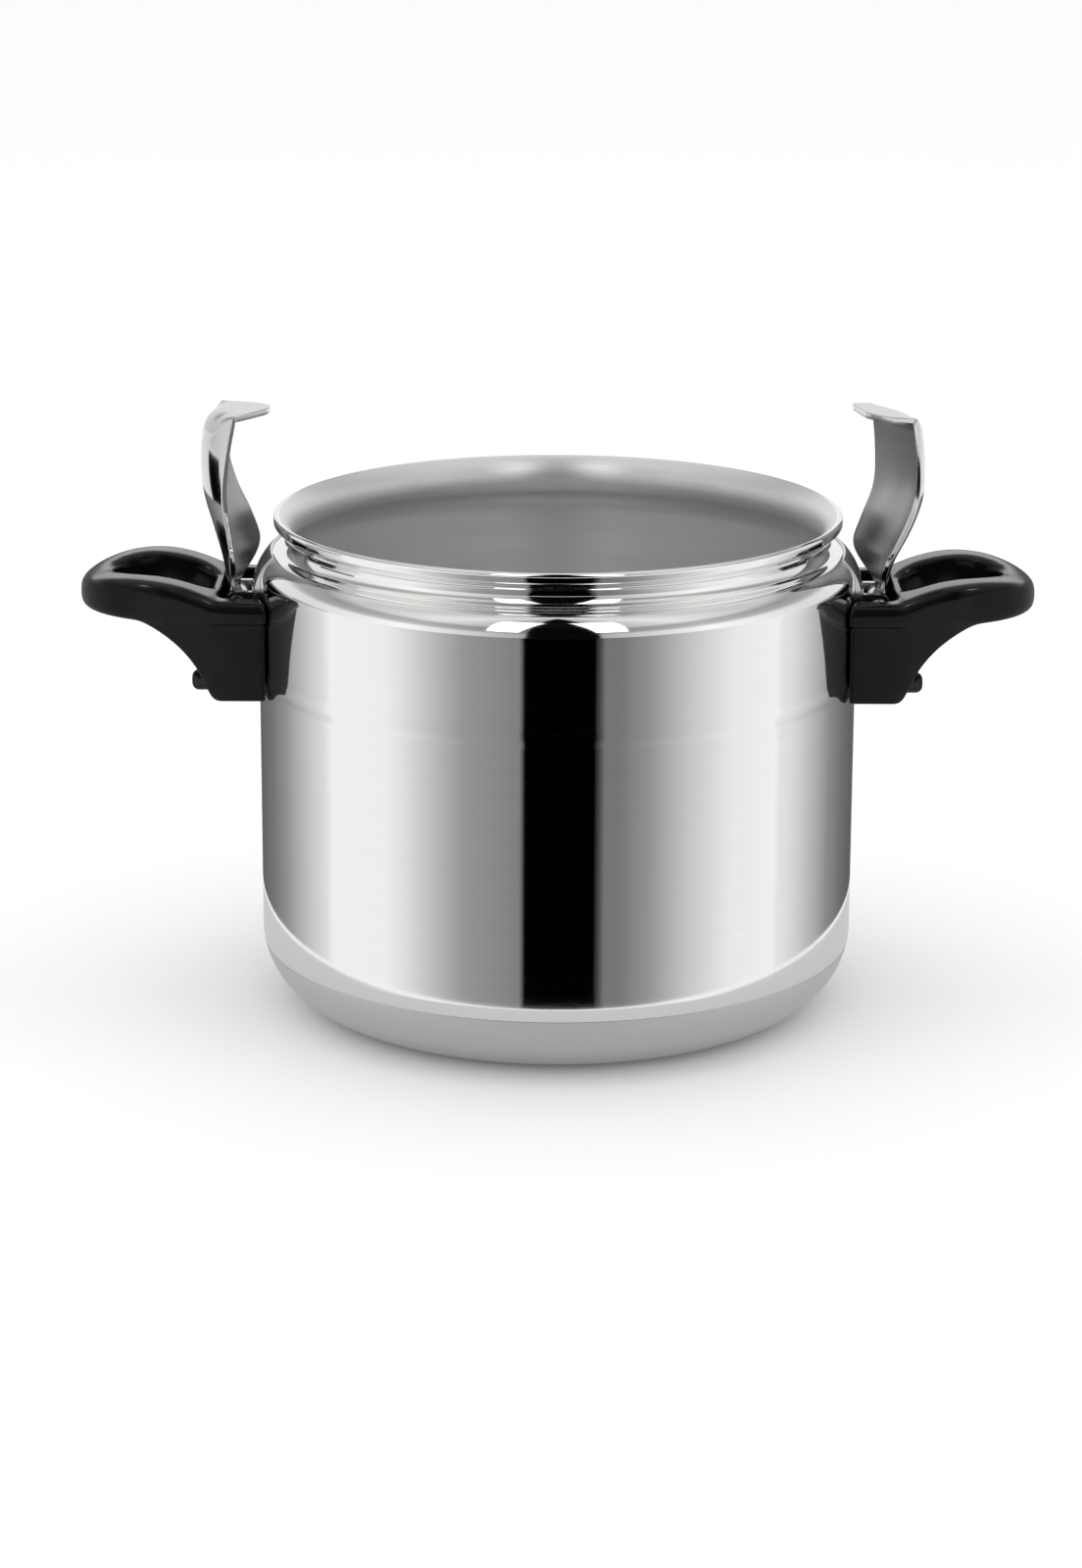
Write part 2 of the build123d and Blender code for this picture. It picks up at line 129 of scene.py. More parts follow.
def ring_coords(nodes, links, radial, height, around):
    """Coordinates (radius, angle, height), so a texture runs in rings round the pan."""
    coords = nodes.new("ShaderNodeTexCoord")
    split = nodes.new("ShaderNodeSeparateXYZ")
    links.new(coords.outputs["Object"], split.inputs[0])
    flat = nodes.new("ShaderNodeCombineXYZ")
    links.new(split.outputs["X"], flat.inputs["X"])
    links.new(split.outputs["Y"], flat.inputs["Y"])
    length = nodes.new("ShaderNodeVectorMath")
    length.operation = "LENGTH"
    links.new(flat.outputs[0], length.inputs[0])
    angle = nodes.new("ShaderNodeMath")
    angle.operation = "ARCTAN2"
    links.new(split.outputs["Y"], angle.inputs[0])
    links.new(split.outputs["X"], angle.inputs[1])
    joined = nodes.new("ShaderNodeCombineXYZ")
    for value, factor, socket in (
        (length.outputs["Value"], radial, "X"),
        (angle.outputs[0], around, "Y"),
        (split.outputs["Z"], height, "Z"),
    ):
        scaled = nodes.new("ShaderNodeMath")
        scaled.operation = "MULTIPLY"
        links.new(value, scaled.inputs[0])
        scaled.inputs[1].default_value = factor
        links.new(scaled.outputs[0], joined.inputs[socket])
    return joined.outputs[0]


GRAIN_SHADE = 0.94
GRAIN_DEPTH = 0.04 * MM


def steel(name, grey, rough, rough_span, vector_of, bump=0.0, anisotropy=0.0, metallic=1.0):
    """Stainless steel: fine grain lines in roughness, a trace of them in height and colour."""
    made, nodes, links, shader = new_material(name)
    shader.inputs["Metallic"].default_value = metallic
    shader.inputs["Anisotropic"].default_value = anisotropy
    vector = vector_of(nodes, links)
    grain = add_node(nodes, "ShaderNodeTexNoise", Scale=1.0, Detail=4.0, Roughness=0.6)
    links.new(vector, grain.inputs["Vector"])
    roughness = nodes.new("ShaderNodeMapRange")
    roughness.inputs["From Min"].default_value = 0.3
    roughness.inputs["From Max"].default_value = 0.7
    roughness.inputs["To Min"].default_value = rough
    roughness.inputs["To Max"].default_value = rough + rough_span
    links.new(grain.outputs["Fac"], roughness.inputs["Value"])
    links.new(roughness.outputs[0], shader.inputs["Roughness"])
    tint = nodes.new("ShaderNodeMix")
    tint.data_type = "RGBA"
    tint.inputs["A"].default_value = (*[c * GRAIN_SHADE for c in grey], 1.0)
    tint.inputs["B"].default_value = (*grey, 1.0)
    links.new(grain.outputs["Fac"], tint.inputs["Factor"])
    links.new(tint.outputs["Result"], shader.inputs["Base Color"])
    if anisotropy:
        tangent = nodes.new("ShaderNodeTangent")
        tangent.direction_type = "RADIAL"
        tangent.axis = "Z"
        links.new(tangent.outputs[0], shader.inputs["Tangent"])
        shader.inputs["Anisotropic Rotation"].default_value = 0.25
    if bump:
        height = nodes.new("ShaderNodeBump")
        height.inputs["Strength"].default_value = bump
        height.inputs["Distance"].default_value = GRAIN_DEPTH
        links.new(grain.outputs["Fac"], height.inputs["Height"])
        links.new(height.outputs["Normal"], shader.inputs["Normal"])
    return made


def rings_fine(nodes, links):
    return ring_coords(nodes, links, 2600.0, 2600.0, 1.2)


def rings_soft(nodes, links):
    return ring_coords(nodes, links, 900.0, 900.0, 0.8)


def upright_grain(nodes, links):
    return mapped(nodes, links, (1800.0, 1800.0, 60.0))


def even_grain(nodes, links):
    return mapped(nodes, links, (900.0, 900.0, 900.0))


mirror_steel = steel("mirror_steel", (0.93, 0.93, 0.92), 0.035, 0.035, rings_soft)
inside_steel = steel(
    "inside_steel", (0.76, 0.76, 0.75), 0.28, 0.18, rings_fine,
    bump=0.7, anisotropy=0.8, metallic=0.8,
)
satin_steel = steel(
    "satin_steel", (0.70, 0.70, 0.69), 0.34, 0.14, rings_fine, bump=0.25, anisotropy=0.3,
)
arm_outer_steel = steel("arm_steel", (0.64, 0.64, 0.63), 0.08, 0.05, upright_grain)
arm_inner_steel = steel("arm_inner_steel", (0.45, 0.45, 0.44), 0.30, 0.10, upright_grain, bump=0.15)
bracket_steel = steel("bracket_steel", (0.74, 0.74, 0.73), 0.12, 0.10, even_grain)
fastener_steel = steel("fastener_steel", (0.62, 0.62, 0.61), 0.22, 0.14, even_grain, bump=0.1)
nut_black = steel("nut_black", (0.035, 0.035, 0.036), 0.24, 0.10, even_grain, bump=0.1)
disc_aluminium = steel("disc_aluminium", (0.70, 0.70, 0.71), 0.38, 0.12, rings_soft, bump=0.2)


def resin_material():
    """Glossy black moulded phenolic: faint flow mottle, fine orange peel and worn gloss."""
    made, nodes, links, shader = new_material("handle_resin")
    vector = mapped(nodes, links, (1.0, 1.0, 1.0))
    mottle = add_node(nodes, "ShaderNodeTexNoise", Scale=140.0, Detail=5.0, Roughness=0.55)
    links.new(vector, mottle.inputs["Vector"])
    peel = add_node(nodes, "ShaderNodeTexNoise", Scale=1500.0, Detail=3.0, Roughness=0.5)
    links.new(vector, peel.inputs["Vector"])
    colour = ramp(nodes, (0.35, 0.0025), (0.7, 0.0045))
    links.new(mottle.outputs["Fac"], colour.inputs["Fac"])
    links.new(colour.outputs["Color"], shader.inputs["Base Color"])
    gloss = nodes.new("ShaderNodeMapRange")
    gloss.inputs["To Min"].default_value = 0.12
    gloss.inputs["To Max"].default_value = 0.22
    links.new(mottle.outputs["Fac"], gloss.inputs["Value"])
    links.new(gloss.outputs[0], shader.inputs["Roughness"])
    bump = nodes.new("ShaderNodeBump")
    bump.inputs["Strength"].default_value = 0.12
    bump.inputs["Distance"].default_value = 0.00005
    links.new(peel.outputs["Fac"], bump.inputs["Height"])
    links.new(bump.outputs["Normal"], shader.inputs["Normal"])
    shader.inputs["IOR"].default_value = 1.5
    shader.inputs["Specular IOR Level"].default_value = 0.18
    return made


resin = resin_material()


# ---------------------------------------------------------------- mesh helpers
def new_object(name, vertices, faces, material):
    mesh = bpy.data.meshes.new(name)
    mesh.from_pydata([tuple(v) for v in vertices], [], faces)
    mesh.validate()
    mesh.update()
    for polygon in mesh.polygons:
        polygon.use_smooth = True
    made = bpy.data.objects.new(name, mesh)
    bpy.context.scene.collection.objects.link(made)
    mesh.materials.append(material)
    return made


def arc(centre, radius, start, end, steps):
    """Points of an arc in the radius-height plane, angles in degrees."""
    angles = [math.radians(start + (end - start) * i / steps) for i in range(steps + 1)]
    return [(centre[0] + radius * math.cos(a), centre[1] + radius * math.sin(a)) for a in angles]


def lathe(name, outline, material, segments=384):
    """Revolves a closed outline of (radius, height) points; points on the axis are poles."""
    vertices, rings = [], []
    for r, z in outline:
        if r < 1e-6:
            rings.append([len(vertices)] * segments)
            vertices.append((0.0, 0.0, z))
        else:
            rings.append(list(range(len(vertices), len(vertices) + segments)))
            for i in range(segments):
                a = 2 * math.pi * i / segments
                vertices.append((r * math.cos(a), r * math.sin(a), z))
    faces = []
    for k in range(len(rings)):
        low, high = rings[k], rings[(k + 1) % len(rings)]
        if low[0] == low[1] and high[0] == high[1]:
            continue
        for i in range(segments):
            j = (i + 1) % segments
            corners = [low[i], low[j], high[j], high[i]]
            faces.append([c for n, c in enumerate(corners) if c not in corners[:n]])
    return new_object(name, vertices, faces, material)


def sharpen(piece, degrees):
    """Keeps creases steeper than an angle sharp in shading."""
    limit = math.radians(degrees)
    work = bmesh.new()
    work.from_mesh(piece.data)
    for edge in work.edges:
        if len(edge.link_faces) == 2 and edge.calc_face_angle(0.0) > limit:
            edge.smooth = False
    work.to_mesh(piece.data)
    work.free()


# ---------------------------------------------------------------- pot shell and base cap
WALL = 1.3 * MM
NECK_R = POT_R - 11.4 * MM
GROOVE_R = 4.7 * MM
SHOULDER_R = 10.0 * MM
CORNER_R = 29.0 * MM
GROOVE = (NECK_R + GROOVE_R, RIM - 8.8 * MM)
reach = SHOULDER_R + GROOVE_R
shift = GROOVE[0] - (POT_R - SHOULDER_R)
SHOULDER = (POT_R - SHOULDER_R, GROOVE[1] - math.sqrt(reach**2 - shift**2))
BEND = math.degrees(math.atan2(math.sqrt(reach**2 - shift**2), shift))
CORNER = (POT_R - CORNER_R, CORNER_R)
LIP_R = NECK_R + 5.6 * MM
LIP_ROUND = 1.4 * MM
BAND_Z = 127.0 * MM
BAND_HALF = 4.0 * MM
SEAM = 0.12 * MM
FLOOR_TOP = 6.5 * MM
FLOOR_ROUND = 22.0 * MM
DISC_R = 84.0 * MM
DISC_TOP = 5.8 * MM
CAP_WALL = 0.8 * MM
INNER_CORNER = (POT_R - WALL - FLOOR_ROUND, FLOOR_TOP + FLOOR_ROUND)
cap_angle = math.degrees(math.asin((CAP_TOP - CORNER[1]) / CORNER_R))


def lip_underside(start, end, steps=8):
    """Quarter curve from the groove's end out to the rim's outer face."""
    points = []
    for i in range(1, steps + 1):
        t = i / steps * math.pi / 2
        r = start[0] + (end[0] - start[0]) * math.sin(t)
        points.append((r, start[1] + (end[1] - start[1]) * (1 - math.cos(t))))
    return points


def neck_inside(steps=24):
    """Inside of the neck, from the rolled rim's top down to the start of the shoulder."""
    top = (LIP_R - LIP_ROUND, RIM)
    throat = (NECK_R - WALL, GROOVE[1])
    rise = top[1] - throat[1]
    radius = ((top[0] - throat[0]) ** 2 + rise**2) / (2 * (top[0] - throat[0]))
    points = []
    for i in range(1, steps + 1):
        z = top[1] - rise * i / steps
        points.append((throat[0] + radius - math.sqrt(radius**2 - (z - throat[1]) ** 2), z))
    return points


band = [
    (POT_R + BAND_RISE * math.cos(math.pi / 2 * k / 8) ** 2, BAND_Z + BAND_HALF * k / 8)
    for k in range(-7, 9)
]
outside = arc(CORNER, CORNER_R, cap_angle, 0, 16) + [(POT_R, BAND_Z - BAND_HALF)] + band
outside += arc(SHOULDER, SHOULDER_R, 0, BEND, 28)
outside += arc(GROOVE, GROOVE_R, 180 + BEND, 112, 30)[1:]
outside += lip_underside(outside[-1], (LIP_R, outside[-1][1] + LIP_ROUND))
outside += arc((LIP_R - LIP_ROUND, RIM - LIP_ROUND), LIP_ROUND, 0, 90, 12)
inside = neck_inside()
inside += arc(GROOVE, GROOVE_R + WALL, 180, 180 + BEND, 20)[1:]
inside += arc(SHOULDER, SHOULDER_R - WALL, BEND, 0, 20)[1:]
inside += arc(INNER_CORNER, FLOOR_ROUND, 0, -90, 24)
inside += [(r * MM, FLOOR_TOP) for r in (60.0, 30.0, 0.0)]
covered = [(0.0, DISC_TOP), (INNER_CORNER[0], DISC_TOP)]
covered += arc(INNER_CORNER, FLOOR_ROUND + 0.7 * MM, -90, -12, 16)[1:]
pot_outline = outside + inside + covered
pot = lathe("pot", pot_outline, mirror_steel)
pot.data.materials.append(inside_steel)
for polygon in pot.data.polygons:
    centre = polygon.center
    r = math.hypot(centre.x, centre.y)
    facing_in = polygon.normal.x * centre.x + polygon.normal.y * centre.y < 0
    low_floor = centre.z < 8 * MM and r < INNER_CORNER[0]
    over_lip = centre.z > RIM - 0.5 * MM
    if (facing_in and not over_lip) or low_floor or (polygon.normal.z > 0.2 and centre.z < 60 * MM):
        polygon.material_index = 1
sharpen(pot, 40)
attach(pot, "body")
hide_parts("pot_shell")

cap_outline = [(0.0, 0.0)] + [(r * MM, 0.0) for r in (40.0, 70.0)]
cap_outline += arc(CORNER, CORNER_R, -90, cap_angle - 0.5, 40)
cap_edge = cap_outline[-1][0]
cap_outline += [(cap_edge - SEAM, CAP_TOP - SEAM), (cap_edge - 0.5 * MM, CAP_TOP - SEAM)]
cap_outline += [(CORNER[0] + 6 * MM, 5.9 * MM), (DISC_R, DISC_TOP)]
cap_outline += [(DISC_R, CAP_WALL), (0.0, CAP_WALL)]
base_cap = lathe("base_shell", cap_outline, satin_steel)
sharpen(base_cap, 40)
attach(base_cap, "body")
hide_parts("base_cap")


# ---------------------------------------------------------------- handles
def apply_modifiers(piece):
    graph = bpy.context.evaluated_depsgraph_get()
    mesh = bpy.data.meshes.new_from_object(piece.evaluated_get(graph))
    piece.modifiers.clear()
    piece.data = mesh
    for polygon in mesh.polygons:
        polygon.use_smooth = True


LOOP_START = 122.5 * MM
LOOP_FADE = 8.0 * MM
SKIN_VOXEL = 0.6 * MM
EDGE_ROUNDS = 8
LOOP_ROUNDS = 60


def moulded(name, node):
    """A handle's solid as one moulded skin; its loop is smoothed more than its body."""
    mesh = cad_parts[node].data.copy()
    work = bmesh.new()
    work.from_mesh(mesh)
    bmesh.ops.remove_doubles(work, verts=work.verts, dist=1e-6)
    work.to_mesh(mesh)
    work.free()
    piece = bpy.data.objects.new(name, mesh)
    bpy.context.scene.collection.objects.link(piece)
    remesh = piece.modifiers.new("skin", "REMESH")
    remesh.mode = "VOXEL"
    remesh.voxel_size = SKIN_VOXEL
    apply_modifiers(piece)
    loop = piece.vertex_groups.new(name="loop")
    for vertex in piece.data.vertices:
        weight = min(1.0, max(0.0, (abs(vertex.co.x) - LOOP_START) / LOOP_FADE))
        if weight > 0.0:
            loop.add([vertex.index], weight, "REPLACE")
    for group, iterations in (("", EDGE_ROUNDS), ("loop", LOOP_ROUNDS)):
        smooth = piece.modifiers.new("rounding", "SMOOTH")
        smooth.factor = 0.5
        smooth.iterations = iterations
        smooth.vertex_group = group
    apply_modifiers(piece)
    piece.data.materials.clear()
    piece.data.materials.append(resin)
    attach(piece, "body")
    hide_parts(node)
    return piece


grips = [moulded(f"{side}_grip", f"{side}_handle") for side in ("right", "left")]


# ---------------------------------------------------------------- hook arms
ARM_T = 2.2 * MM
TAB_BEND = 9.0 * MM
TAB_SHARE = 0.6
TAB_MARGIN = 0.03
EDGE_CREASE = 0.75
# Cross-sections going up, in millimetres: height above the hinge, chord centre outward
# from the wall, half chord, bulge of the arc, and skew of the chord in degrees.
RIGHT_SECTIONS = [
    (0.0, 9.4, 7.3, 0.5, 0), (6.0, 7.6, 8.2, 1.4, 3), (11.0, 5.6, 12.2, 3.8, 10),
    (17.0, 4.4, 15.2, 6.0, 18),
    (28.0, 8.4, 16.2, 7.0, 23), (40.0, 12.6, 16.2, 7.0, 23), (56.0, 13.0, 16.2, 7.0, 23),
    (71.0, 11.4, 15.5, 6.5, 24),
]
LEFT_SECTIONS = [
    (0.0, 9.4, 7.3, 0.5, 0), (6.0, 7.6, 8.2, 1.4, 3), (11.0, 5.6, 12.2, 4.0, 9),
    (17.0, 4.0, 15.2, 6.4, 13),
    (28.0, 5.9, 16.2, 7.8, 10), (40.0, 9.4, 16.2, 8.0, 3), (56.0, 10.7, 16.2, 7.8, -6),
    (71.0, 9.4, 15.5, 6.5, -12),
]
# Free edge of the tab from the back to the front: outward from the wall, along Y.
RIGHT_TAB = [(-2.5, 16.5), (2.2, -4.0), (9.0, -11.5)]
LEFT_TAB = [(0.5, 12.0), (-4.8, 7.0), (-4.2, 0.0), (2.9, -11.0)]


def smooth_between(x, xs, ys):
    """Cubic through the given values, with slopes taken from the neighbours."""
    slopes = np.gradient(ys, xs)
    k = int(np.clip(np.searchsorted(xs, x) - 1, 0, len(xs) - 2))
    span = xs[k + 1] - xs[k]
    t = (x - xs[k]) / span
    h00, h10 = 2 * t**3 - 3 * t**2 + 1, t**3 - 2 * t**2 + t
    h01, h11 = -2 * t**3 + 3 * t**2, t**3 - t**2
    return h00 * ys[k] + h10 * span * slopes[k] + h01 * ys[k + 1] + h11 * span * slopes[k + 1]


def section_point(sections, height, across):
    """Point of the arm's outer face in plan; across runs from -1 at the front to 1."""
    table = np.array(sections)
    centre, half, bulge, skew = (
        smooth_between(height, table[:, 0], table[:, column]) * factor
        for column, factor in ((1, MM), (2, MM), (3, MM), (4, 1.0))
    )
    radius = (half**2 + bulge**2) / (2 * bulge)
    spread = math.degrees(math.atan2(half, radius - bulge))
    normal = Vector((math.cos(math.radians(skew)), math.sin(math.radians(skew))))
    hub = Vector((POT_R + centre, 0.0)) + normal * (bulge - radius)
    angle = math.radians(skew + across * spread)
    return hub + Vector((math.cos(angle), math.sin(angle))) * (radius + ARM_T)


def along_line(points, share):
    """Point at a share of a polyline's length."""
    lengths = [(b - a).length for a, b in zip(points, points[1:])]
    rest = share * sum(lengths)
    for a, b, length in zip(points, points[1:], lengths):
        if rest <= length:
            return a.lerp(b, rest / length)
        rest -= length
    return points[-1]


def hook_arm(name, body, node, sections, tab, side):
    """Bent strip that folds over into its tab."""
    columns, rise_rows, bend_rows, tab_rows = 17, 26, 8, 6
    top = sections[-1][0] * MM
    vertices = []
    edge = [Vector((POT_R + out * MM, y * MM)) for out, y in reversed(tab)]
    line = [section_point(sections, sections[-1][0], -1.0), *edge]
    line.append(section_point(sections, sections[-1][0], 1.0))
    for c in range(columns):
        across = -1.0 + 2.0 * c / (columns - 1)
        wall_top = section_point(sections, sections[-1][0], across)
        end = along_line(line, TAB_MARGIN + (1 - 2 * TAB_MARGIN) * c / (columns - 1))
        inward = end - wall_top
        bend = min(TAB_BEND, TAB_SHARE * inward.length)
        inward.normalize()
        bend_foot = section_point(sections, (top - bend) / MM, across)
        column = []
        for k in range(rise_rows):
            height = (top - bend) * k / (rise_rows - 1)
            p = section_point(sections, height / MM, across)
            column.append((p.x, p.y, height))
        for k in range(1, bend_rows + 1):
            a = math.pi / 2 * k / bend_rows
            p = bend_foot + inward * (bend * (1 - math.cos(a)))
            column.append((p.x, p.y, top - bend + bend * math.sin(a)))
        start = bend_foot + inward * bend
        for k in range(1, tab_rows + 1):
            p = start.lerp(end, k / tab_rows)
            column.append((p.x, p.y, top))
        vertices.append(column)
    rows = len(vertices[0])
    flat = [(side * x, y, PIN_Z + z) for column in vertices for x, y, z in column]
    faces = []
    for c in range(columns - 1):
        for k in range(rows - 1):
            quad = [c * rows + k, (c + 1) * rows + k, (c + 1) * rows + k + 1, c * rows + k + 1]
            faces.append(quad if side > 0 else quad[::-1])
    strip = new_object(name, flat, faces, arm_outer_steel)
    strip.data.materials.append(arm_inner_steel)
    thick = strip.modifiers.new("gauge", "SOLIDIFY")
    thick.thickness = ARM_T
    thick.offset = -1.0
    thick.use_even_offset = False
    thick.material_offset = 1
    thick.material_offset_rim = 0
    thick.edge_crease_inner = EDGE_CREASE
    thick.edge_crease_outer = EDGE_CREASE
    fine = strip.modifiers.new("fine", "SUBSURF")
    fine.levels = 2
    fine.render_levels = 2
    apply_modifiers(strip)
    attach(strip, body)
    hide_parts(node)


KNUCKLE_R = 4.6 * MM
KNUCKLE_BORE = 2.05 * MM
KNUCKLE_HALF = 7.6 * MM


def knuckle(name, body, centre):
    """Rolled knuckle: a tube along Y with rounded ends."""
    bore, radius, half, ease = KNUCKLE_BORE, KNUCKLE_R, KNUCKLE_HALF, 0.5 * MM
    profile = [(bore, -half + ease), (bore + ease, -half), (radius - ease, -half)]
    profile += [(radius - 0.3 * ease, -half + 0.3 * ease), (radius, -half + ease)]
    profile += [(r, -y) for r, y in reversed(profile)]
    segments = 64
    vertices = []
    for r, y in profile:
        for i in range(segments):
            a = 2 * math.pi * i / segments
            vertices.append((centre[0] + r * math.cos(a), y, centre[1] + r * math.sin(a)))
    faces = []
    count = len(profile)
    for k in range(count):
        for i in range(segments):
            j = (i + 1) % segments
            low, high = k * segments, (k + 1) % count * segments
            faces.append([low + i, low + j, high + j, high + i])
    made = new_object(name, vertices, faces, arm_outer_steel)
    sharpen(made, 35)
    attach(made, body)


hook_arm("right_arm_strip", "right_arm", "right_hook_arm", RIGHT_SECTIONS, RIGHT_TAB, 1)
hook_arm("left_arm_strip", "left_arm", "left_hook_arm", LEFT_SECTIONS, LEFT_TAB, -1)
for side, sign in (("right", 1), ("left", -1)):
    knuckle(f"{side}_arm_knuckle", f"{side}_arm", (sign * PIN_X, PIN_Z))

# ---------------------------------------------------------------- finishes of the CAD nodes that stay
finishes = {"base_disc": disc_aluminium}
for side in ("right", "left"):
    finishes[f"{side}_bracket"] = bracket_steel
    for small in ("hinge_pin", "retaining_ring", "spacer_washers", "weld_studs", "handle_washers"):
        finishes[f"{side}_{small}"] = fastener_steel
    finishes[f"{side}_cap_nuts"] = nut_black
for node, material in finishes.items():
    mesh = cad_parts[node].data
    for index in range(max(1, len(mesh.materials))):
        if index < len(mesh.materials):
            mesh.materials[index] = material
        else:
            mesh.materials.append(material)


# ---------------------------------------------------------------- studio
def stage_material(name):
    made, nodes, links, shader = new_material(name)
    nodes.remove(shader)
    return made, nodes, links, nodes["Material Output"]


FLOOR_HALF = 8.0
FLOOR_CLEARANCE = 0.2 * MM
floor_mesh = bpy.data.meshes.new("floor")
floor_corners = [
    (x * FLOOR_HALF, y * FLOOR_HALF, 0) for x, y in ((-1, -1), (1, -1), (1, 1), (-1, 1))
]
floor_mesh.from_pydata(floor_corners, [], [(0, 1, 2, 3)])
floor = bpy.data.objects.new("floor", floor_mesh)
bpy.context.scene.collection.objects.link(floor)
floor_material, _, _, floor_shader = new_material("floor_white")
floor_shader.inputs["Base Color"].default_value = (0.93, 0.93, 0.93, 1.0)
floor_shader.inputs["Roughness"].default_value = 0.9
floor_shader.inputs["Specular IOR Level"].default_value = 0.1
floor_mesh.materials.append(floor_material)
floor.location.z = cad_low[2] - FLOOR_CLEARANCE

def azimuth_levels(nodes, links, vector, stops):
    """Grey levels by direction round the pan; stops are degrees from the front."""
    split = nodes.new("ShaderNodeSeparateXYZ")
    links.new(vector, split.inputs[0])
    back = nodes.new("ShaderNodeMath")
    back.operation = "MULTIPLY"
    back.inputs[1].default_value = -1.0
    links.new(split.outputs["Y"], back.inputs[0])
    angle = nodes.new("ShaderNodeMath")
    angle.operation = "ARCTAN2"
    links.new(split.outputs["X"], angle.inputs[0])
    links.new(back.outputs[0], angle.inputs[1])
    place = nodes.new("ShaderNodeMapRange")
    place.inputs["From Min"].default_value = -math.pi
    place.inputs["From Max"].default_value = math.pi
    links.new(angle.outputs[0], place.inputs["Value"])
    levels = ramp(nodes, *[((a + 180) / 360, level) for a, level in stops])
    links.new(place.outputs[0], levels.inputs["Fac"])
    return levels.outputs["Color"]


def reflection_card(name, vertices, faces, material):
    """Part of the studio that only reflections see."""
    card = new_object(name, vertices, faces, material)
    card.visible_camera = False
    card.visible_diffuse = False
    card.visible_shadow = False
    card.visible_transmission = False
    return card


def glowing(name):
    """A plain emission material; gives the material, its nodes, links and emission node."""
    material, nodes, links, output = stage_material(name)
    emission = nodes.new("ShaderNodeEmission")
    links.new(emission.outputs[0], output.inputs["Surface"])
    return material, nodes, links, emission


# A ring of reflection cards, seen only by reflections: degrees from the front, brightness.
CARDS = [
    (-180, 0.70), (-168, 0.55), (-150, 0.16), (-130, 0.12), (-109, 0.19), (-96, 0.31),
    (-83, 0.56), (-73, 0.78), (-69.4, 0.96), (-49, 0.94), (-43, 0.81), (-33, 0.53), (-25, 0.33),
    (-9.3, 0.23), (-8.9, 0.00), (11.1, 0.00), (11.5, 0.19), (17, 0.20), (25, 0.32), (37, 0.63),
    (50, 0.89), (67, 0.97), (68, 0.85), (73, 0.79), (84, 0.54), (97, 0.28), (110, 0.17),
    (125, 0.12), (150, 0.16), (168, 0.55), (180, 0.70),
]
CARD_R = 0.187
CARD_FOOT = 0.002
CARD_TOP = 0.170
BASE_R = 0.08


def card_ring():
    segments = 128
    vertices, faces = [], []
    for i in range(segments):
        a = 2 * math.pi * i / segments
        x, y = CARD_R * math.cos(a), CARD_R * math.sin(a)
        vertices += [(x, y, CARD_FOOT), (x, y, CARD_TOP)]
    for i in range(segments):
        j = (i + 1) % segments
        faces.append([2 * i, 2 * j, 2 * j + 1, 2 * i + 1])
    material, nodes, links, emission = glowing("cards")
    coords = nodes.new("ShaderNodeTexCoord")
    levels = azimuth_levels(nodes, links, coords.outputs["Object"], CARDS)
    links.new(levels, emission.inputs["Color"])
    reflection_card("cards", vertices, faces, material)


card_ring()


def floor_card():
    """Painted reflection of the floor that the lower wall and base see: grey, with a painted shadow
    of the pan that gets darker towards the pan.
    """
    segments = 96
    vertices = [(0.0, 0.0, 0.0)]
    for i in range(segments):
        a = 2 * math.pi * i / segments
        vertices.append((CARD_R * math.cos(a), CARD_R * math.sin(a), 0.0))
    faces = [[0, i + 1, (i + 1) % segments + 1] for i in range(segments)]
    material, nodes, links, emission = glowing("floor_card")
    coords = nodes.new("ShaderNodeTexCoord")
    length = nodes.new("ShaderNodeVectorMath")
    length.operation = "LENGTH"
    links.new(coords.outputs["Object"], length.inputs[0])
    spread = nodes.new("ShaderNodeMapRange")
    spread.inputs["From Min"].default_value = BASE_R
    spread.inputs["From Max"].default_value = CARD_R
    links.new(length.outputs["Value"], spread.inputs["Value"])
    # Painted shadow: the reflected floor grows darker towards the pan's foot.
    levels = ramp(nodes, (0.0, 0.06), (0.08, 0.22), (0.22, 0.5), (0.6, 0.6), (1.0, 0.62))
    links.new(spread.outputs[0], levels.inputs["Fac"])
    links.new(levels.outputs["Color"], emission.inputs["Color"])
    card = reflection_card("floor_card", vertices, faces, material)
    card.location.z = 0.1 * MM


floor_card()


def black_card(name, start, end, radius, high):
    """Upright curved black card standing on the floor, from one angle to another."""
    steps = 12
    vertices, faces = [], []
    for i in range(steps + 1):
        a = math.radians(start + (end - start) * i / steps)
        x, y = radius * math.sin(a), -radius * math.cos(a)
        vertices += [(x, y, 0.0), (x, y, high)]
    for i in range(steps):
        faces.append([2 * i, 2 * i + 2, 2 * i + 3, 2 * i + 1])
    material, _, _, emission = glowing(name)
    emission.inputs["Color"].default_value = (0.0, 0.0, 0.0, 1.0)
    reflection_card(name, vertices, faces, material)


black_card("arm_card", -106, -84, 0.40, 0.19)

world = bpy.data.worlds.new("studio")
bpy.context.scene.world = world
world.use_nodes = True
w_nodes, w_links = world.node_tree.nodes, world.node_tree.links
w_nodes.clear()
w_out = w_nodes.new("ShaderNodeOutputWorld")
plain = add_node(w_nodes, "ShaderNodeBackground", Color=(1.0, 1.0, 1.0, 1.0), Strength=1.06)
seen = add_node(w_nodes, "ShaderNodeBackground", Strength=1.0)
rays = w_nodes.new("ShaderNodeLightPath")
choice = w_nodes.new("ShaderNodeMixShader")
w_coords = w_nodes.new("ShaderNodeTexCoord")
w_split = w_nodes.new("ShaderNodeSeparateXYZ")
w_links.new(w_coords.outputs["Generated"], w_split.inputs[0])
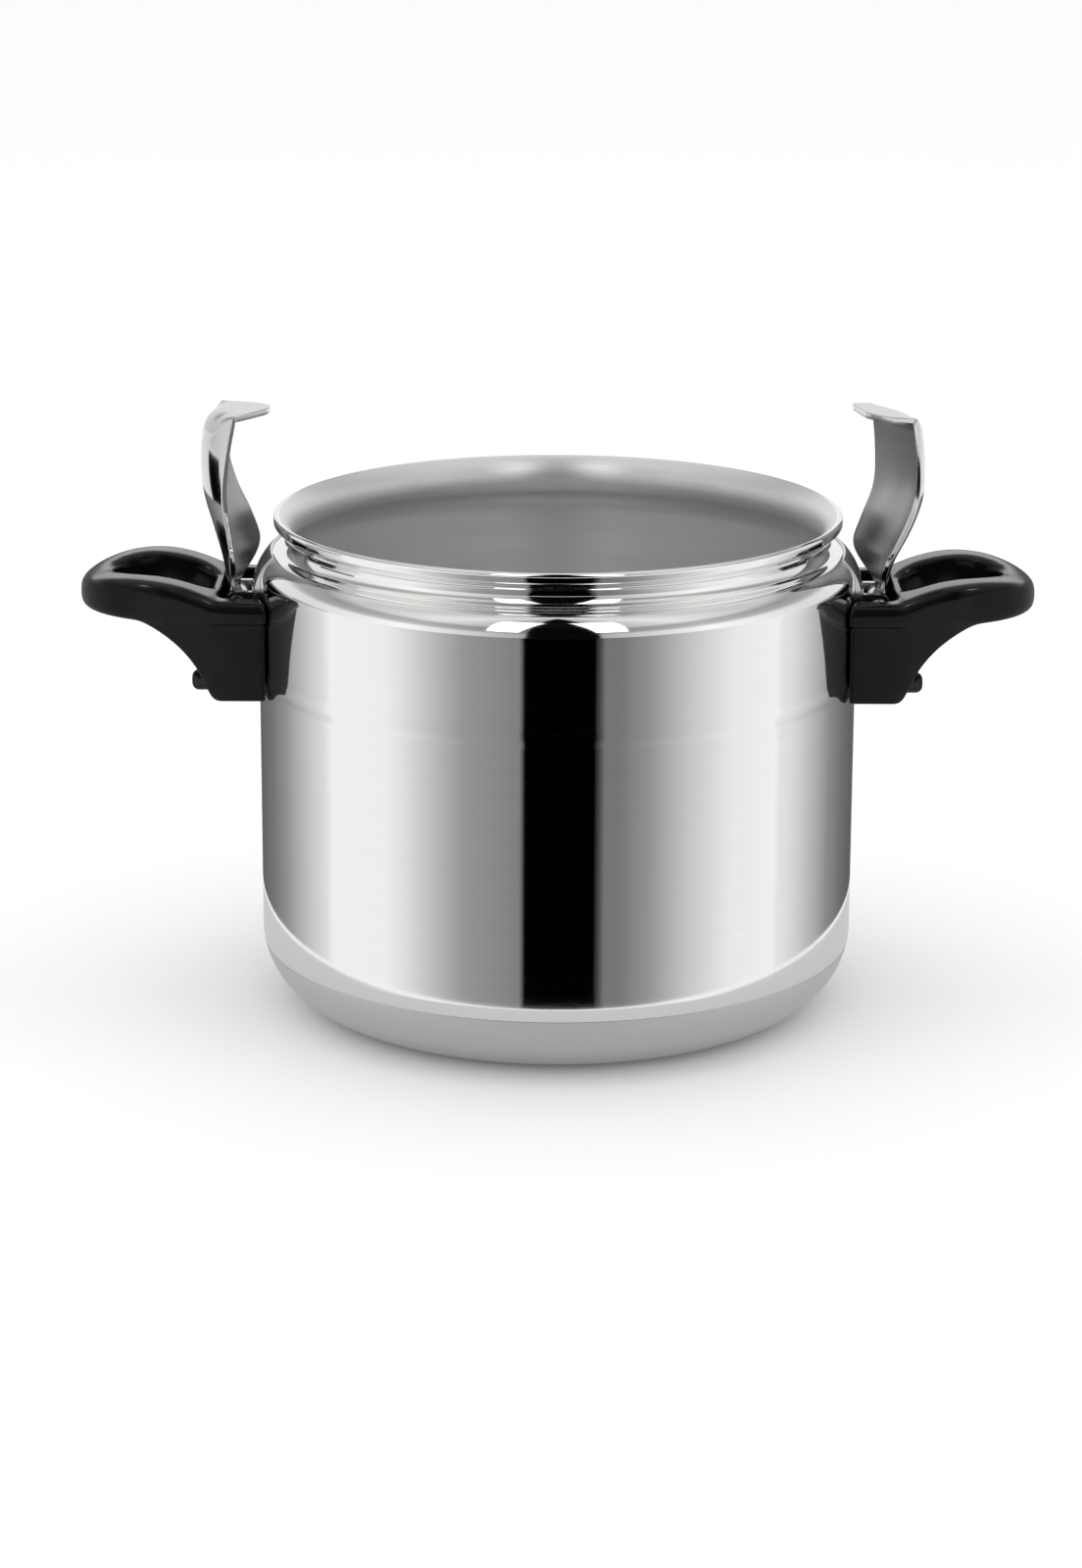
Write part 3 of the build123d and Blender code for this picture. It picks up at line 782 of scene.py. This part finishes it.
# Grey levels of the reflected sky by height, from the horizon to straight up.
SKY = [(0.0, 0.95), (0.32, 0.95), (0.45, 0.5), (0.62, 0.42), (0.72, 0.75), (0.86, 0.8), (1.0, 0.75)]
sky = ramp(w_nodes, *SKY)
w_links.new(w_split.outputs["Z"], sky.inputs["Fac"])
# A black flag straight in front keeps the dark stripe running up over the shoulder.
FLAG = [
    (-180, 1.0), (-110, 0.8), (-60, 1.1), (-25, 0.6), (-12.6, 0.45), (-12.2, 0.0), (15.6, 0.0),
    (16.0, 0.45), (25, 0.6), (60, 1.1), (110, 0.8), (180, 1.0),
]
flag = azimuth_levels(w_nodes, w_links, w_coords.outputs["Generated"], FLAG)
w_sky = w_nodes.new("ShaderNodeMix")
w_sky.data_type = "RGBA"
w_sky.blend_type = "MULTIPLY"
w_sky.inputs["Factor"].default_value = 1.0
w_links.new(sky.outputs["Color"], w_sky.inputs["A"])
w_links.new(flag, w_sky.inputs["B"])
w_links.new(w_sky.outputs["Result"], seen.inputs["Color"])
w_links.new(rays.outputs["Is Glossy Ray"], choice.inputs["Fac"])
w_links.new(plain.outputs[0], choice.inputs[1])
w_links.new(seen.outputs[0], choice.inputs[2])
w_links.new(choice.outputs[0], w_out.inputs["Surface"])


def soft_panel(name, place, size, power, mirrored=False, only_on=()):
    """Area light aimed at the middle of the pan; mirrored ones show in reflections."""
    data = bpy.data.lights.new(name, "AREA")
    data.shape = "RECTANGLE"
    data.size, data.size_y = size
    data.energy = power
    panel = bpy.data.objects.new(name, data)
    bpy.context.scene.collection.objects.link(panel)
    panel.location = place
    aim = Vector((0.0, 0.0, 0.1)) - Vector(place)
    panel.rotation_mode = "QUATERNION"
    panel.rotation_quaternion = aim.to_track_quat("-Z", "Y")
    panel.visible_glossy = mirrored
    if only_on:
        lit = bpy.data.collections.new(name)
        for piece in only_on:
            lit.objects.link(piece)
        panel.light_linking.receiver_collection = lit


# Panels for the whole scene, then those that light and show in only one kind of piece.
soft_panel("top_panel", (0.0, 0.15, 1.9), (1.6, 1.2), 4.0)
soft_panel("left_panel", (-1.5, -0.6, 1.1), (0.9, 1.2), 1.0)
soft_panel("right_panel", (1.5, -0.5, 1.1), (0.9, 1.2), 1.0)
for side, sign in (("left", -1), ("right", 1)):
    soft_panel(f"inside_{side}_panel", (sign * 0.42, -1.1, 1.35), (0.35, 1.2), 2.4, True, [pot])
for side, sign in (("left", -1), ("right", 1)):
    soft_panel(f"handle_{side}_panel", (sign * 0.5, -0.1, 1.3), (0.2, 0.2), 1.6, True, grips)
soft_panel("handle_back_panel", (0.0, 2.2, 0.76), (2.4, 0.5), 2.2, True, grips)
bpy.context.scene.view_settings.view_transform = "Standard"
